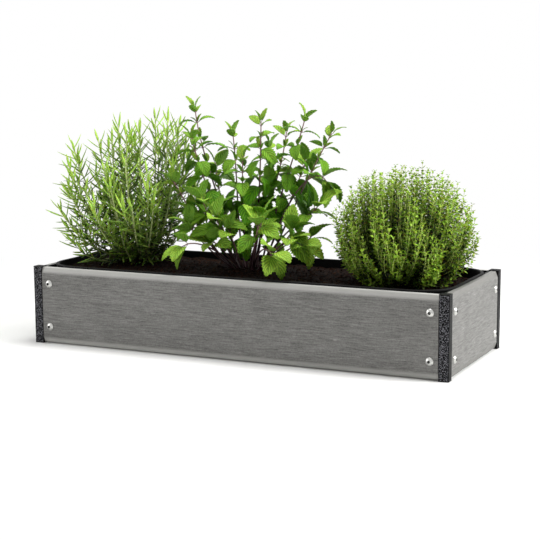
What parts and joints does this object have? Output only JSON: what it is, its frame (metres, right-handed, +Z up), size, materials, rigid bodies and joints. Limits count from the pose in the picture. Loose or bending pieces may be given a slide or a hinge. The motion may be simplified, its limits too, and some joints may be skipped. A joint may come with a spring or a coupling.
{
  "type": "indoor herb planter",
  "caption": "Low rectangular planter box of grey boards bolted to black corner posts, with a lift-out liner tray that holds soil, rosemary, mint and thyme.",
  "frame": {"origin": "middle of the planter's footprint, on the surface that its feet stand on", "axes": "+X along the planter's length towards the thyme, -Y out of the front board, +Z up"},
  "size_m": [0.806, 0.306, 0.446],
  "materials": {
    "composite_board": "grey wood-plastic composite, brushed along its length",
    "coated_post": "black textured powder coat",
    "cap_plastic": "black moulded plastic",
    "bolt_steel": "plain stainless steel",
    "nut_steel": "plain stainless steel",
    "screw_steel": "zinc plated",
    "base_timber": "planed softwood",
    "liner_plastic": "black moulded plastic",
    "potting_soil": "damp potting soil with bark",
    "root_ball": "rooted potting soil",
    "rosemary_leaf": "narrow green needles",
    "mint_leaf": "soft green leaves",
    "thyme_leaf": "small green leaves"
  },
  "bodies": {
    "frame": {"front_board": "composite_board", "front_board_bolts": "bolt_steel", "front_board_nuts": "nut_steel", "back_board": "composite_board", "back_board_bolts": "bolt_steel", "back_board_nuts": "nut_steel", "left_board": "composite_board", "left_board_bolts": "bolt_steel", "left_board_nuts": "nut_steel", "right_board": "composite_board", "right_board_bolts": "bolt_steel", "right_board_nuts": "nut_steel", "front_left_post": "coated_post", "front_left_post_cap": "cap_plastic", "front_left_post_foot": "cap_plastic", "front_right_post": "coated_post", "front_right_post_cap": "cap_plastic", "front_right_post_foot": "cap_plastic", "back_right_post": "coated_post", "back_right_post_cap": "cap_plastic", "back_right_post_foot": "cap_plastic", "back_left_post": "coated_post", "back_left_post_cap": "cap_plastic", "back_left_post_foot": "cap_plastic", "front_bearer": "base_timber", "front_bearer_screws": "screw_steel", "back_bearer": "base_timber", "back_bearer_screws": "screw_steel", "base_slat_1": "base_timber", "base_slat_2": "base_timber", "base_slat_3": "base_timber", "base_slat_4": "base_timber", "base_slat_5": "base_timber", "base_slat_screws": "screw_steel"},
    "liner": {"liner_tray": "liner_plastic", "potting_soil": "potting_soil", "rosemary_root_ball": "root_ball", "mint_root_ball": "root_ball", "thyme_root_ball": "root_ball", "rosemary_plant": "rosemary_leaf", "mint_plant": "mint_leaf", "thyme_plant": "thyme_leaf"}
  },
  "joints": [
    {"name": "liner_lift", "type": "slide", "parent": "frame", "child": "liner", "axis": [0, 0, 1], "range_m": [0, 0.13]}
  ]
}
